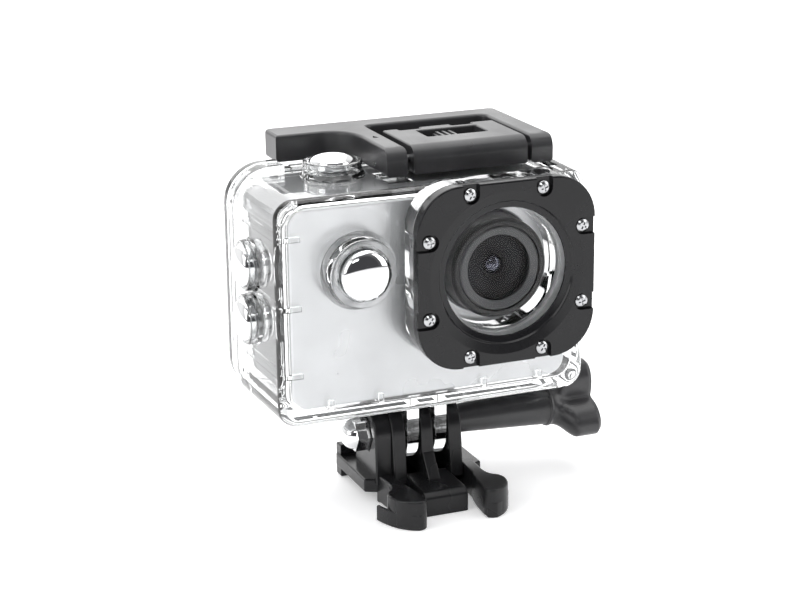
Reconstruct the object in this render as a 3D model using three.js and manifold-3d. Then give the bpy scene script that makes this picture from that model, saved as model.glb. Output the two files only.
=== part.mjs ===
// Action camera in a clear waterproof housing, standing on its quick-release buckle.
// Millimetres. +X is the right of the front view, +Y goes back (the lens looks along -Y), +Z is up.
// The origin is on the buckle's flat underside, straight below the axis of the thumb screw.
import * as THREE from "three";
import { mergeVertices } from "three/addons/utils/BufferGeometryUtils.js";
import Module from "manifold-3d";

const wasm = await Module();
wasm.setup();

// ---------------------------------------------------------------- driving dimensions
const GAP = 0.3; // clearance between pieces that touch
const SCREW_AXIS_Z = 13.7; // height of the thumb screw above the underside

const CAMERA = { halfWidth: 29.7, bottom: 23.8, top: 64.9, front: -8, rear: 13.8, corner: 3.5 };
const SHELL = { halfWidth: 33.1, bottom: 21, top: 67.2, front: -11.5, rear: 14.5, frontWall: 2.2 };
const FLARE = 0.025; // share by which the shell widens from its front to its rear
const FLANGE = { halfWidth: 34.6, bottom: 20.4, top: 69, corner: 8, front: 10.5 };
const DOOR = { front: SHELL.rear + GAP, rear: 17.2, spigot: 1.3, catchRear: 18.6, catchBottom: 64.6 };
const CAVITY = { halfWidth: 31, bottom: 23.3, top: 65.3, corner: 4 };
const SPIGOT = { halfWidth: 31.2, bottom: 22.6, top: 66, wall: 1, corner: 4 };

const LENS = { x: 12.2, z: 50 }; // centre line of the lens
const FRAME = { halfX: 19.1, halfZ: 18.6, corner: 9, front: -19, rear: -16.2 };
const TOWER_FRONT = FRAME.rear + GAP;
const OPENING = { outer: 14.35, inner: 13 }; // chamfered round opening of the lens frame
const WINDOW = { radius: 15.1, front: -17.5, rear: -16 };
const SCREW_PATTERN = { near: 7.85, far: 16.45 }; // eight screws, two along each side
const FRAME_SCREW = { head: 1.35, shaft: 0.8, front: -18.9, under: -18.1, tip: -12 };
const NOTCH = { radius: 1.7, floor: -17.8, reach: 4 };

const FRONT_BUTTON = { x: -16.4, z: 52, cap: 5.2, collar: 6.9, collarFront: -14.6 };
const TOP_BUTTON = { x: -15, y: 6, cap: 4.8, collar: 6, collarTop: 70.3 };
const SIDE_BUTTON = { y: 3, cap: 4.3, collar: 5.1, collarEnd: -35.6 };
const SIDE_BUTTON_Z = { upper: 51.5, lower: 40.3 };
const STEM = 1.2; // radius of a button's stem

const LATCH = { pivotY: -0.8, pivotZ: 70.65, nose: 2.85, top: 73.5, bottom: 67.8, rear: 25.6 };
const LEVER = { left: -22.9, armFront: 17.6, earLeft: -7, earRight: -2.6, rightIn: 24.6, right: 29.3 };
const HOOK = { front: 20.2, rear: 21.8, bottom: 66.6 };
const LOCK_PLATE = { left: -1.2, right: 23.6, rear: 19.3, topRear: 13.6, shelf: 71 };
const HINGE = { y: 15.5, z: 20.2, radius: 1.7, pin: 0.7, half: 11.7 };

const BOLT = 2; // radius of the thumb screw's steel bolt
const BOLT_HOLE = 2.35;
const FINGER = { radius: 6.3, centre: 3.05, thick: 2.7 };
const PRONG = { radius: 6.4, thick: 2.95, centre: 6.225, bossRadius: 5.8, bossEnd: -11.2 };
const SLED = { halfWidth: 13.1, body: 9, rear: 13.3, top: 5, railBottom: 2.1, tongue: 4.7, front: -16.6 };
const LEG = { hingeX: 9.4, hingeY: -5.2, root: 1.3, top: 6.2, fin: 3.4 };

// ---------------------------------------------------------------- materials
const paint = (color, roughness, metalness = 0, opacity = 1) =>
  new THREE.MeshStandardMaterial({ color, roughness, metalness, opacity, transparent: opacity < 1 });
const clear = () => paint(0xf2f5f8, 0.05, 0, 0.25);
const black = () => paint(0x1b1b1d, 0.42);
const silver = () => paint(0xc9ccd2, 0.38, 0.6);
const chrome = () => paint(0xe8eaee, 0.06, 1);
const steel = () => paint(0xb9bcc1, 0.28, 1);
const glass = () => paint(0x14161a, 0.04, 0, 0.6);
const rubber = () => paint(0xd9dbde, 0.7);
const dark = () => paint(0x2a2c30, 0.6);
const board = () => paint(0x1f5a3a, 0.6);
const cell = () => paint(0x30343c, 0.5);

// ---------------------------------------------------------------- closed solids and booleans
function weld(geometry) {
  const bare = geometry.clone();
  bare.deleteAttribute("normal");
  bare.deleteAttribute("uv");
  const merged = mergeVertices(bare, 1e-4);
  const index = merged.index.array;
  const kept = [];
  for (let i = 0; i < index.length; i += 3) {
    const [a, b, c] = [index[i], index[i + 1], index[i + 2]];
    if (a !== b && b !== c && c !== a) kept.push(a, b, c);
  }
  const xyz = merged.attributes.position.array;
  if (signedVolume(xyz, kept) < 0) kept.reverse();
  return { xyz, kept };
}

function signedVolume(xyz, index) {
  const corner = (i) => new THREE.Vector3().fromArray(xyz, 3 * i);
  let volume = 0;
  for (let i = 0; i < index.length; i += 3) {
    const [a, b, c] = [corner(index[i]), corner(index[i + 1]), corner(index[i + 2])];
    volume += a.dot(b.cross(c)) / 6;
  }
  return volume;
}

function solid(geometry) {
  const { xyz, kept } = weld(geometry);
  const vertProperties = Float32Array.from(xyz);
  const triVerts = Uint32Array.from(kept);
  return new wasm.Manifold(new wasm.Mesh({ numProp: 3, vertProperties, triVerts }));
}

const join = (...solids) => solids.flat().reduce((a, b) => a.add(b));
const cut = (base, ...tools) => tools.flat().reduce((a, b) => a.subtract(b), base);

function geometryOf(manifold) {
  const mesh = manifold.getMesh();
  const geometry = new THREE.BufferGeometry();
  geometry.setAttribute("position", new THREE.BufferAttribute(mesh.vertProperties, 3));
  geometry.setIndex(new THREE.BufferAttribute(mesh.triVerts, 1));
  return geometry;
}

// ---------------------------------------------------------------- shapes
function roundRect(left, bottom, right, top, radii) {
  const [bl, br, tr, tl] = Array.isArray(radii) ? radii : [radii, radii, radii, radii];
  const shape = new THREE.Shape();
  shape.moveTo(left + bl, bottom);
  shape.lineTo(right - br, bottom);
  shape.absarc(right - br, bottom + br, br, -Math.PI / 2, 0);
  shape.lineTo(right, top - tr);
  shape.absarc(right - tr, top - tr, tr, 0, Math.PI / 2);
  shape.lineTo(left + tl, top);
  shape.absarc(left + tl, top - tl, tl, Math.PI / 2, Math.PI);
  shape.lineTo(left, bottom + bl);
  shape.absarc(left + bl, bottom + bl, bl, Math.PI, 1.5 * Math.PI);
  return shape;
}

function outline(points) {
  return new THREE.Shape(points.map(([a, b]) => new THREE.Vector2(a, b)));
}

function disc(a, b, radius) {
  const shape = new THREE.Shape();
  shape.absarc(a, b, radius, 0, 2 * Math.PI);
  return shape;
}

function extrude(shape, depth, { segments = 6, bevel = 0, bevelSteps = 2, steps = 1 } = {}) {
  const geometry = new THREE.ExtrudeGeometry(shape, {
    depth: depth - 2 * bevel,
    steps,
    curveSegments: segments,
    bevelEnabled: bevel > 0,
    bevelThickness: bevel,
    bevelSize: bevel,
    bevelOffset: -bevel,
    bevelSegments: bevelSteps,
  });
  return geometry.translate(0, 0, bevel);
}

// a shape drawn in (X, Z), filled from y0 to y1
const alongY = (shape, y0, y1, options) =>
  solid(extrude(shape, y1 - y0, options).rotateX(Math.PI / 2).translate(0, y1, 0));
// a shape drawn in (X, Y), filled from z0 to z1
const alongZ = (shape, z0, z1, options) => solid(extrude(shape, z1 - z0, options).translate(0, 0, z0));
// a shape drawn in (Y, Z), filled from x0 to x1
const TO_X = new THREE.Matrix4().makeBasis(
  new THREE.Vector3(0, 1, 0),
  new THREE.Vector3(0, 0, 1),
  new THREE.Vector3(1, 0, 0),
);
const alongX = (shape, x0, x1, options) =>
  solid(extrude(shape, x1 - x0, options).applyMatrix4(TO_X).translate(x0, 0, 0));

const block = (x0, x1, y0, y1, z0, z1) =>
  solid(
    new THREE.BoxGeometry(x1 - x0, y1 - y0, z1 - z0).translate((x0 + x1) / 2, (y0 + y1) / 2, (z0 + z1) / 2),
  );

// [radius, height] points turned about an axis through centre; heights run along that axis
function turned(profile, axis, centre, segments = 32) {
  const points = profile.map(([r, h]) => new THREE.Vector2(r, h));
  const geometry = new THREE.LatheGeometry(points, segments);
  if (axis === "x") geometry.rotateZ(-Math.PI / 2);
  if (axis === "z") geometry.rotateX(Math.PI / 2);
  return solid(geometry.translate(...centre));
}

const rod = (radius, axis, centre, from, to, segments = 20) =>
  turned([[0, from], [radius, from], [radius, to], [0, to]], axis, centre, segments);

const ring = (inner, outer, axis, centre, from, to, segments = 32) =>
  turned([[inner, from], [outer, from], [outer, to], [inner, to], [inner, from]], axis, centre, segments);

// ---------------------------------------------------------------- the assembly
const camera = new THREE.Group();

function add(name, material, body) {
  const mesh = new THREE.Mesh(geometryOf(body), material);
  mesh.name = name;
  camera.add(mesh);
}

const onLensAxis = [LENS.x, 0, LENS.z];
const onScrewAxis = [0, 0, SCREW_AXIS_Z];
const onFrontButton = [FRONT_BUTTON.x, 0, FRONT_BUTTON.z];
const onTopButton = [TOP_BUTTON.x, TOP_BUTTON.y, 0];
const onSideButton = (side) => [0, SIDE_BUTTON.y, SIDE_BUTTON_Z[side]];
const SIDES = ["upper", "lower"];

// ---------------------------------------------------------------- housing: shell
const flangeOutline = () =>
  roundRect(-FLANGE.halfWidth, FLANGE.bottom, FLANGE.halfWidth, FLANGE.top, FLANGE.corner);

// the rear edges stand proud only beside the latch; they are cut level where it passes over them
const latchPath = (y0, y1) => block(-23.6, 40, y0, y1, SHELL.top, FLANGE.top + 1);

function frameScrewPlaces() {
  const { near, far } = SCREW_PATTERN;
  const places = [[-near, far], [near, far], [far, near], [far, -near]];
  return [...places, ...places.map(([x, z]) => [-x, -z])].map(([x, z]) => [LENS.x + x, 0, LENS.z + z]);
}

function shellSkin() {
  const { halfWidth, bottom, top, front, rear } = SHELL;
  const box = extrude(roundRect(-halfWidth, bottom, halfWidth, top, [4, 4, 3, 4]), rear - front, {
    bevel: 1.8,
    bevelSteps: 3,
    segments: 5,
  });
  const spot = box.attributes.position;
  for (let i = 0; i < spot.count; i += 1) {
    const forward = spot.getZ(i) / (rear - front); // 0 at the rear, 1 at the front
    spot.setX(i, spot.getX(i) * (1 + FLARE * (1 - forward)));
  }
  return solid(box.rotateX(Math.PI / 2).translate(0, rear, 0));
}

function lensTower() {
  const { halfX, halfZ, corner } = FRAME;
  const { x, z } = LENS;
  const square = roundRect(x - halfX + 0.2, z - halfZ + 0.2, x + halfX - 0.2, z + halfZ - 0.2, corner);
  return alongY(square, TOWER_FRONT, SHELL.front + 0.5);
}

function fingerPair() {
  const plate = join(
    alongX(disc(0, SCREW_AXIS_Z, FINGER.radius), 0, FINGER.thick, { segments: 14 }),
    block(0, FINGER.thick, -FINGER.radius, FINGER.radius, SCREW_AXIS_Z, SHELL.bottom + 1),
  );
  return [-1, 1].map((side) => plate.translate([side * FINGER.centre - FINGER.thick / 2, 0, 0]));
}

function hingeLugs() {
  const lug = join(
    alongX(disc(HINGE.y, HINGE.z, HINGE.radius), 0, 4, { segments: 8 }),
    block(0, 4, 9, HINGE.y, HINGE.z - HINGE.radius, SHELL.bottom + 0.5),
  );
  return [-16, 12].map((x) => lug.translate([x, 0, 0]));
}

// ribs inside the walls locate the camera; each ends in a short tab behind the front wall
function shellRibs() {
  const wall = CAVITY.halfWidth + 0.6;
  const side = [31.3, 45.1, 59.1].map((z) => [
    block(-wall, -CAMERA.halfWidth - 0.4, -9.5, 10, z - 0.5, z + 0.5),
    block(-wall, -27.8, -9.5, -8.4, z - 0.5, z + 0.5),
  ]).flat();
  const floor = [-22, -11.4, 11.2, 23.6].map((x) => [
    block(x - 0.5, x + 0.5, -9.5, 10, CAVITY.bottom - 0.5, CAMERA.bottom - 0.2),
    block(x - 0.5, x + 0.5, -9.5, -8.4, CAVITY.bottom - 0.5, CAMERA.bottom + 1.4),
  ]).flat();
  return join(side, side.map((rib) => rib.mirror([1, 0, 0])), floor);
}

function buttonCollars() {
  const { front, top } = SHELL;
  const frontCollar = turned(
    [[0, front + 1], [7.9, front + 1], [7.9, front - 0.3], [7.1, front - 0.9],
      [FRONT_BUTTON.collar, FRONT_BUTTON.collarFront], [0, FRONT_BUTTON.collarFront]],
    "y", onFrontButton, 36);
  const topCollar = turned(
    [[0, top - 1], [6.6, top - 1], [6.6, top + 0.3], [TOP_BUTTON.collar, top + 0.9],
      [TOP_BUTTON.collar, TOP_BUTTON.collarTop], [0, TOP_BUTTON.collarTop]],
    "z", onTopButton, 32);
  const sideCollars = SIDES.map((side) =>
    turned([[0, SIDE_BUTTON.collarEnd], [SIDE_BUTTON.collar, SIDE_BUTTON.collarEnd],
      [SIDE_BUTTON.collar, -34], [5.6, -33.4], [5.6, -32.4], [0, -32.4]], "x", onSideButton(side), 28),
  );
  return [frontCollar, topCollar, ...sideCollars];
}

// bores for the caps, narrower bores for the stems
function buttonBores() {
  const { collarFront } = FRONT_BUTTON;
  return [
    rod(FRONT_BUTTON.cap + 0.4, "y", onFrontButton, collarFront - 1, SHELL.front, 32),
    rod(STEM + GAP, "y", onFrontButton, -12, -8, 14),
    rod(TOP_BUTTON.cap + 0.35, "z", onTopButton, 66.5, TOP_BUTTON.collarTop + 1, 28),
    rod(STEM + GAP, "z", onTopButton, 64, 67, 14),
    ...SIDES.map((side) => rod(4.55, "x", onSideButton(side), SIDE_BUTTON.collarEnd - 1, -32.1, 24)),
    ...SIDES.map((side) => rod(STEM + GAP, "x", onSideButton(side), -33, -30, 14)),
  ];
}

function frontShell() {
  const flange = cut(
    alongY(flangeOutline(), FLANGE.front, SHELL.rear, { segments: 7 }),
    latchPath(FLANGE.front - 1, SHELL.rear + 1),
  );
  const outer = join(
    shellSkin(), flange, lensTower(), buttonCollars(), fingerPair(), hingeLugs(),
  );
  const { halfWidth, bottom, top, corner } = CAVITY;
  const cavityFront = SHELL.front + SHELL.frontWall;
  const rebate = spigotOutline(1.2);
  const hollow = cut(
    outer,
    alongY(roundRect(-halfWidth, bottom, halfWidth, top, corner), cavityFront, SHELL.rear + 1),
    alongY(rebate, DOOR.front - DOOR.spigot - GAP, SHELL.rear + 1),
    rod(12.5, "y", onLensAxis, TOWER_FRONT - 1, cavityFront + 1, 48),
    rod(WINDOW.radius + GAP, "y", onLensAxis, TOWER_FRONT - 1, -14.4, 48),
    frameScrewPlaces().map((place) => rod(1.1, "y", place, TOWER_FRONT - 1, -11.7, 10)),
    buttonBores(),
    rod(BOLT_HOLE, "x", onScrewAxis, -8, 8, 20),
    // pockets that the corners of the lever's ears swing through
    block(LEVER.earLeft - 0.4, LEVER.earRight + 0.4, -5.2, 3.6, 66.3, SHELL.top + 2),
    block(LEVER.rightIn - 0.4, LEVER.right + 0.4, -5.2, 3.6, 66.3, SHELL.top + 2),
    rod(HINGE.radius + GAP, "x", [0, HINGE.y, HINGE.z], -12, 12, 24),
    rod(HINGE.pin + 0.2, "x", [0, HINGE.y, HINGE.z], -17, 17, 12),
  );
  return hollow.add(shellRibs());
}

// ---------------------------------------------------------------- housing: door and seal
// the door's rim that enters the shell, drawn a little larger for the seal and for the shell's rebate
function spigotOutline(extra) {
  const { halfWidth, bottom, top, corner } = SPIGOT;
  return roundRect(-halfWidth - extra, bottom - extra, halfWidth + extra, top + extra * 0.5, corner + extra);
}

function backDoor() {
  const { front, rear, spigot, catchRear, catchBottom } = DOOR;
  const slab = cut(
    alongY(flangeOutline(), front, rear, { segments: 7, bevel: 0.5, bevelSteps: 1 }),
    latchPath(front - 1, rear + 1),
  );
  const { halfWidth, bottom, top, wall, corner } = SPIGOT;
  const hollow = roundRect(-halfWidth + wall, bottom + wall, halfWidth - wall, top - wall, corner - wall);
  const rim = cut(
    alongY(spigotOutline(0), front - spigot, front + 0.5),
    alongY(hollow, front - spigot - 1, front + 1),
  );
  const knuckle = join(
    alongX(disc(HINGE.y, HINGE.z, HINGE.radius), -HINGE.half, HINGE.half, { segments: 8 }),
    block(-HINGE.half, HINGE.half, HINGE.y - 0.4, rear - 0.5, HINGE.z, 22),
  );
  return cut(
    join(slab, rim, knuckle, block(-20, 28, rear - 0.5, catchRear, catchBottom, SHELL.top)),
    rod(HINGE.pin + 0.2, "x", [0, HINGE.y, HINGE.z], -12, 12, 12),
    [-1, 1].map((side) => block(side * 14 - 2.3, side * 14 + 2.3, 14, 18, 18, 22.3)),
  );
}

function doorSeal() {
  const { front, spigot } = DOOR;
  return cut(
    alongY(spigotOutline(0.85), front - spigot + 0.1, front - GAP),
    alongY(spigotOutline(0.15), front - spigot - 1, front + 1),
  );
}

// ---------------------------------------------------------------- housing: lens frame
// a pocket for a screw head, open to the nearest edge of the frame
function screwNotch([x, , z]) {
  const { radius, floor, reach } = NOTCH;
  const upright = Math.abs(z - LENS.z) > Math.abs(x - LENS.x);
  const dx = upright ? 0 : reach * Math.sign(x - LENS.x);
  const dz = upright ? reach * Math.sign(z - LENS.z) : 0;
  const [wideX, wideZ] = upright ? [radius, 0] : [0, radius];
  const channel = block(
    Math.min(x, x + dx) - wideX, Math.max(x, x + dx) + wideX, FRAME.front - 1, floor,
    Math.min(z, z + dz) - wideZ, Math.max(z, z + dz) + wideZ,
  );
  return join(rod(radius, "y", [x, 0, z], FRAME.front - 1, floor, 20), channel);
}

function lensFrame() {
  const { halfX, halfZ, corner, front, rear } = FRAME;
  const { x, z } = LENS;
  const plate = alongY(roundRect(x - halfX, z - halfZ, x + halfX, z + halfZ, corner), front, rear + 2, {
    bevel: 1.1,
    segments: 8,
  }).subtract(block(-10, 40, rear, 0, 20, 80));
  return cut(
    plate,
    turned([[0, front - 1], [15.5, front - 1], [OPENING.outer, front], [OPENING.inner, -18.1],
      [OPENING.inner, rear + 1], [0, rear + 1]], "y", onLensAxis, 48),
    rod(WINDOW.radius + GAP, "y", onLensAxis, WINDOW.front - GAP, rear + 1, 48),
    frameScrewPlaces().map(screwNotch),
    frameScrewPlaces().map((place) => rod(1.1, "y", place, -18, rear + 1, 10)),
  );
}

function frameScrew([x, , z], index) {
  const centre = [x, 0, z];
  const { head, shaft, front, under, tip } = FRAME_SCREW;
  const body = turned(
    [[0, front], [head * 0.7, front], [head, front + 0.3], [head, under], [shaft, under],
      [shaft, tip], [0, tip]],
    "y",
    centre,
    12,
  );
  const cross = join(
    block(x - 0.85, x + 0.85, front - 1, front + 0.4, z - 0.2, z + 0.2),
    block(x - 0.2, x + 0.2, front - 1, front + 0.4, z - 0.85, z + 0.85),
  );
  add(`frame_screw_${index + 1}`, steel(), body.subtract(cross));
}

// ---------------------------------------------------------------- housing: buttons
// heights run inward from 0 at the cap's crown
function buttonProfile(radius, hubRadius, capDepth, hubDepth, stemDepth) {
  return [
    [0, 0], [0.5 * radius, 0.32], [0.85 * radius, 0.95], [radius, 1.6], [radius, capDepth],
    [hubRadius, capDepth], [hubRadius, hubDepth], [STEM, hubDepth], [STEM, stemDepth], [0, stemDepth],
  ];
}

function coilSpring(radius, wire, length, turns) {
  const helix = new THREE.Curve();
  helix.getPoint = (t, target = new THREE.Vector3()) => {
    const angle = 2 * Math.PI * turns * t;
    return target.set(radius * Math.cos(angle), radius * Math.sin(angle), wire + t * (length - 2 * wire));
  };
  const section = new THREE.Shape();
  section.absarc(0, 0, wire, 0, 2 * Math.PI);
  return new THREE.ExtrudeGeometry(section, {
    steps: 12 * turns,
    curveSegments: 3,
    extrudePath: helix,
    bevelEnabled: false,
  });
}

function frontButton() {
  const crown = -17.7;
  const profile = buttonProfile(FRONT_BUTTON.cap, 2, 3.6, 4.2, 8.2).map(([r, h]) => [r, crown + h]);
  add("front_button", chrome(), turned(profile, "y", onFrontButton, 40));
  const spring = coilSpring(3.1, 0.25, 2, 2).rotateX(Math.PI / 2).translate(...onFrontButton);
  add("front_button_spring", steel(), solid(spring.translate(0, -11.75, 0)));
}

function topButton() {
  const crown = 71.7;
  const profile = buttonProfile(TOP_BUTTON.cap, 2, 2.8, 3.1, 5.4).map(([r, h]) => [r, crown - h]);
  add("top_button", chrome(), turned(profile, "z", onTopButton, 36));
  const spring = coilSpring(3, 0.22, 1.9, 2).translate(...onTopButton);
  add("top_button_spring", steel(), solid(spring.translate(0, 0, 66.75)));
}

function sideButton(side) {
  const crown = -37.3;
  const profile = buttonProfile(SIDE_BUTTON.cap, 2, 3.4, 3.5, 6.2).map(([r, h]) => [r, crown + h]);
  add(`side_button_${side}`, chrome(), turned(profile, "x", onSideButton(side), 36));
  const spring = coilSpring(2.9, 0.22, 1.4, 2).rotateY(Math.PI / 2);
  spring.translate(-33.7, SIDE_BUTTON.y, SIDE_BUTTON_Z[side]);
  add(`side_button_${side}_spring`, steel(), solid(spring));
}

// ---------------------------------------------------------------- housing: latch
// seen from above: two ears, a bar behind them and a long arm on the left round the top button
function leverPlan() {
  const { pivotY, rear } = LATCH;
  const { left, armFront, earLeft, earRight, rightIn, right } = LEVER;
  const barFront = LOCK_PLATE.rear + 0.7;
  const plan = new THREE.Shape();
  plan.moveTo(earLeft, pivotY);
  plan.lineTo(earRight, pivotY);
  plan.lineTo(earRight, barFront);
  plan.lineTo(rightIn, barFront);
  plan.lineTo(rightIn, pivotY);
  plan.lineTo(right, pivotY);
  plan.lineTo(right, rear - 1.2);
  plan.quadraticCurveTo(right, rear, right - 1.2, rear);
  plan.lineTo(left + 1.4, rear);
  plan.quadraticCurveTo(left, rear, left, rear - 1.4);
  plan.lineTo(left, armFront + 1.2);
  plan.quadraticCurveTo(left, armFront, left + 1.2, armFront);
  plan.lineTo(-13.5, armFront);
  plan.bezierCurveTo(-9, armFront, earLeft, 14, earLeft, 9.2);
  plan.lineTo(earLeft, pivotY);
  return plan;
}

// side view of the rounded nose that the ears and the lock plate share
function noseShape(rear) {
  const { pivotY, pivotZ, nose, top, bottom } = LATCH;
  const shape = new THREE.Shape();
  shape.moveTo(rear, bottom);
  shape.lineTo(rear, top);
  shape.lineTo(pivotY, top);
  shape.absarc(pivotY, pivotZ, nose, Math.PI / 2, Math.PI);
  shape.lineTo(pivotY - nose, bottom);
  return shape;
}

function latchLever() {
  const { pivotY, pivotZ, top, bottom, rear } = LATCH;
  const { left, earLeft, earRight, rightIn, right } = LEVER;
  const ears = [[earLeft, earRight], [rightIn, right]].map(([x0, x1]) =>
    alongX(noseShape(pivotY + 3), x0, x1, { segments: 12 }),
  );
  const arms = cut(
    alongZ(leverPlan(), bottom, top, { segments: 8 }),
    block(left - 1, 40, 22.4, rear - 1.8, bottom - 1, 71), // hollow under the finger grip
  );
  return cut(
    join(arms, ears, block(LOCK_PLATE.left, LOCK_PLATE.right, HOOK.front, HOOK.rear, HOOK.bottom, bottom + 0.5)),
    rod(1.1, "x", [0, pivotY, pivotZ], earLeft + 1, right - 1, 14),
  );
}

function lockPlate() {
  const { pivotY, pivotZ, top, bottom } = LATCH;
  const { left, right, rear, topRear, shelf } = LOCK_PLATE;
  const body = join(
    alongX(noseShape(topRear), left, right, { segments: 12 }),
    block(left, right, topRear - 1, rear, bottom, shelf),
  );
  return cut(
    body,
    block(3.6, 20, 3.2, 11.6, bottom - 1, 71.3), // pocket of the sliding lock, open below
    block(5.2, 18.4, 4.3, 10.6, 71, top + 1), // slot for its thumb piece
    block(2.2, 6.8, 12.2, 16, bottom - 1, top + 1),
    block(13.8, 18.4, 12.2, 16, bottom - 1, top + 1),
    rod(1.1, "x", [0, pivotY, pivotZ], left - 1, right + 1, 14),
  );
}

function lockSlider() {
  return join(
    block(6.6, 15.6, 3.6, 11.2, 69.4, 71),
    block(8.4, 12.9, 4.7, 10.2, 70.9, 72.6),
    [0, 1, 2].map((i) => block(9 + 1.4 * i, 9.6 + 1.4 * i, 4.7, 10.2, 72.5, 73)),
  );
}

// ---------------------------------------------------------------- the camera inside
function cameraCase() {
  const { halfWidth, bottom, top, rear, corner } = CAMERA;
  const skin = alongY(roundRect(-halfWidth, bottom, halfWidth, top, corner), -6.7, rear - 1.6);
  return cut(
    skin,
    alongY(roundRect(-27.7, 27.6, 27.7, 62.9, 2), -4.7, rear),
    block(-27, 7.4, 0.4, 11.2, bottom - 1, 29), // battery bay's mouth in the floor
    rod(8.6, "y", onLensAxis, -8, -4, 36),
    rod(4.6, "y", onFrontButton, -7, -5.4, 28),
    rod(STEM + GAP, "y", onFrontButton, -6, -4, 14),
    rod(2.6, "z", onTopButton, 63.9, 66, 20),
    rod(1.2, "z", onTopButton, 62, 65, 12),
    SIDES.map((side) => rod(2.6, "x", onSideButton(side), -31, -28.7, 20)),
    SIDES.map((side) => rod(1.2, "x", onSideButton(side), -30, -27, 12)),
  );
}

function cameraFrontPlate() {
  const { halfWidth, bottom, top, front, corner } = CAMERA;
  const plate = alongY(roundRect(-halfWidth, bottom, halfWidth, top, corner), front, -6.5, {
    bevel: 0.5,
    bevelSteps: 1,
  }).subtract(block(-40, 40, -7, 0, 0, 80));
  return cut(
    plate,
    rod(10.6, "y", onLensAxis, -9, -6, 40),
    rod(4.3, "y", onFrontButton, -9, -6, 28),
  );
}

function cameraBack() {
  const { halfWidth, bottom, top, rear, corner } = CAMERA;
  const cover = alongY(roundRect(-halfWidth, bottom, halfWidth, top, corner), rear - 1.3, rear);
  return cover.subtract(block(-16.3, 16.3, rear - 2, rear + 1, 34, 58.6));
}

function cameraLens() {
  add("lens_barrel", dark(), turned(
    [[7.3, -4.9], [8.3, -4.9], [8.3, -7.3], [10.25, -7.3], [10.25, -14.2], [9.5, -15], [8.7, -15],
      [8.7, -13.8], [7.3, -13.8], [7.3, -4.9]], "y", onLensAxis, 44));
  add("lens_bezel", black(), turned(
    [[6.8, -14.1], [8.4, -14.1], [8.4, -14.8], [7.2, -15], [6.8, -14.7], [6.8, -14.1]],
    "y", onLensAxis, 44));
  add("lens_cover_glass", glass(), rod(7, "y", onLensAxis, -13.5, -12.7, 36));
  add("lens_element", glass(), turned(
    [[0, -12.3], [1.2, -12], [2, -11.3], [2, -10.3], [0, -10.3]], "y", onLensAxis, 20));
  add("lens_cell", dark(), turned(
    [[2.3, -5.2], [7, -5.2], [7, -8.6], [4.6, -9.8], [2.9, -11.6], [2.3, -11.6], [2.3, -5.2]],
    "y", onLensAxis, 32));
}

function cameraButtons() {
  const cameraFront = CAMERA.front;
  add("camera_power_button", silver(), turned(
    [[0, cameraFront - 0.2], [3.6, cameraFront - 0.2], [4, cameraFront + 0.1], [4, -6.3], [0, -6.3]],
    "y", onFrontButton, 28));
  const cap = [[0, 0.1], [2.2, 0.1], [2.2, -0.3], [0.9, -0.3], [0.9, -1.8], [0, -1.8]];
  const { top, halfWidth } = CAMERA;
  add("camera_shutter_button", silver(),
    turned(cap.map(([r, h]) => [r, top + h]), "z", onTopButton, 20));
  for (const side of SIDES) {
    add(`camera_${side}_button`, silver(),
      turned(cap.map(([r, h]) => [r, -halfWidth - h]), "x", onSideButton(side), 20));
  }
}

function cameraInsides() {
  add("battery", cell(), block(-26.6, 7, 0.8, 10.8, 27.2, 59));
  add("battery_door", dark(), block(-26.7, 7.1, 0.7, 10.9, CAMERA.bottom, 26.8));
  add("circuit_board", board(), cut(
    block(-27, 27, -2.4, -1.2, 28.4, 62), rod(2.4, "y", onLensAxis, -4, 0, 16)));
  add("image_sensor", dark(), block(LENS.x - 4.2, LENS.x + 4.2, -4.6, -2.7, LENS.z - 4.2, LENS.z + 4.2));
  add("camera_screen", glass(), block(-16, 16, CAMERA.rear - 1.8, CAMERA.rear - 0.1, 34.3, 58.3));
}

// ---------------------------------------------------------------- thumb screw
function thumbKnob() {
  const start = 29.3;
  const length = 10.2;
  const knob = extrude(disc(0, 0, 1), length, { segments: 36, steps: 8 }).applyMatrix4(TO_X);
  const spot = knob.attributes.position;
  for (let i = 0; i < spot.count; i += 1) {
    const [along, y, z] = [spot.getX(i) / length, spot.getY(i), spot.getZ(i)];
    const swell = THREE.MathUtils.smoothstep(along, 0.1, 0.5);
    const roundOff = 1 - 0.08 * THREE.MathUtils.smoothstep(along, 0.87, 1);
    const lobes = Math.cos(3 * (Math.atan2(z, y) - Math.PI / 2));
    const radius = (4.4 + 1.8 * swell + 3 * swell * lobes) * roundOff;
    spot.setXYZ(i, start + along * length, y * radius, z * radius);
  }
  const sleeve = turned([[0, 8.1], [2.9, 8.1], [4.1, 29.1], [4.4, 29.7], [0, 29.7]], "x", [0, 0, 0], 32);
  const grip = join(solid(knob), sleeve).translate([0, 0, SCREW_AXIS_Z]);
  return grip.subtract(rod(BOLT + GAP, "x", onScrewAxis, 7, 33.6, 20));
}

function acornNut() {
  const hexagon = outline([0, 1, 2, 3, 4, 5].map((i) => {
    const angle = (i + 0.5) * (Math.PI / 3);
    return [3.7 * Math.cos(angle), SCREW_AXIS_Z + 3.7 * Math.sin(angle)];
  }));
  const dome = turned([[0, -16.6], [1.3, -16.3], [2.5, -15.3], [3, -14], [3, -13], [0, -13]],
    "x", onScrewAxis, 24);
  const body = join(alongX(hexagon, -14.2, -9.6), dome);
  return body.subtract(rod(BOLT + GAP, "x", onScrewAxis, -14, -9, 20));
}

// ---------------------------------------------------------------- quick-release buckle
function prong(x0, x1, radius, foot) {
  const web = outline([
    [-radius, SCREW_AXIS_Z], [-foot, SLED.top - 1], [foot, SLED.top - 1], [radius, SCREW_AXIS_Z],
  ]);
  return join(alongX(disc(0, SCREW_AXIS_Z, radius), x0, x1, { segments: 14 }), alongX(web, x0, x1));
}

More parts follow.
